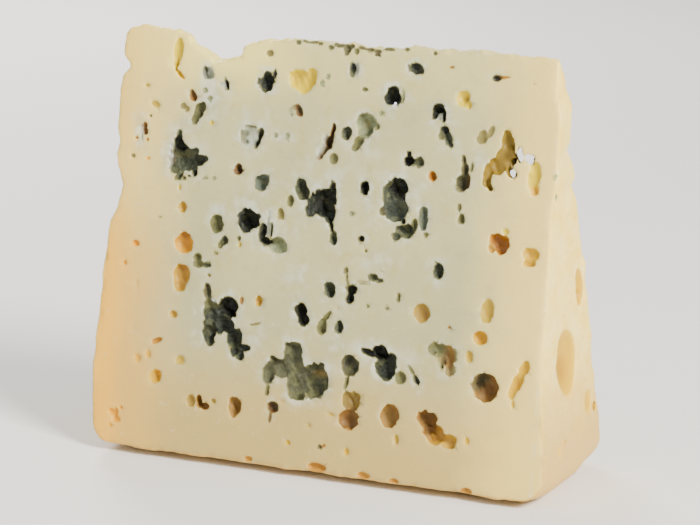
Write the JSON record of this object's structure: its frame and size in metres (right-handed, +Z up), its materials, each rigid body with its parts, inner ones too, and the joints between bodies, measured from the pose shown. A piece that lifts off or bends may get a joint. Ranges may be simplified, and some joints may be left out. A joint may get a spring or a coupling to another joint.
{
  "type": "blue cheese wedge",
  "caption": "Wedge of blue cheese standing on its curved rind, thin tip up, both cut faces open with mould-lined hollows.",
  "frame": {"origin": "under the middle of the wedge, on the flat spot of the rind that it stands on", "axes": "+Z up from the rind to the thin tip, X along the wheel's axis from one flat of the wheel to the other, open cut face to -Y"},
  "size_m": [0.1118, 0.0392, 0.0962],
  "materials": {
    "cheese": "moist crumbly blue cheese paste"
  },
  "bodies": {
    "root": {"cheese_wedge": "cheese"}
  },
  "joints": []
}
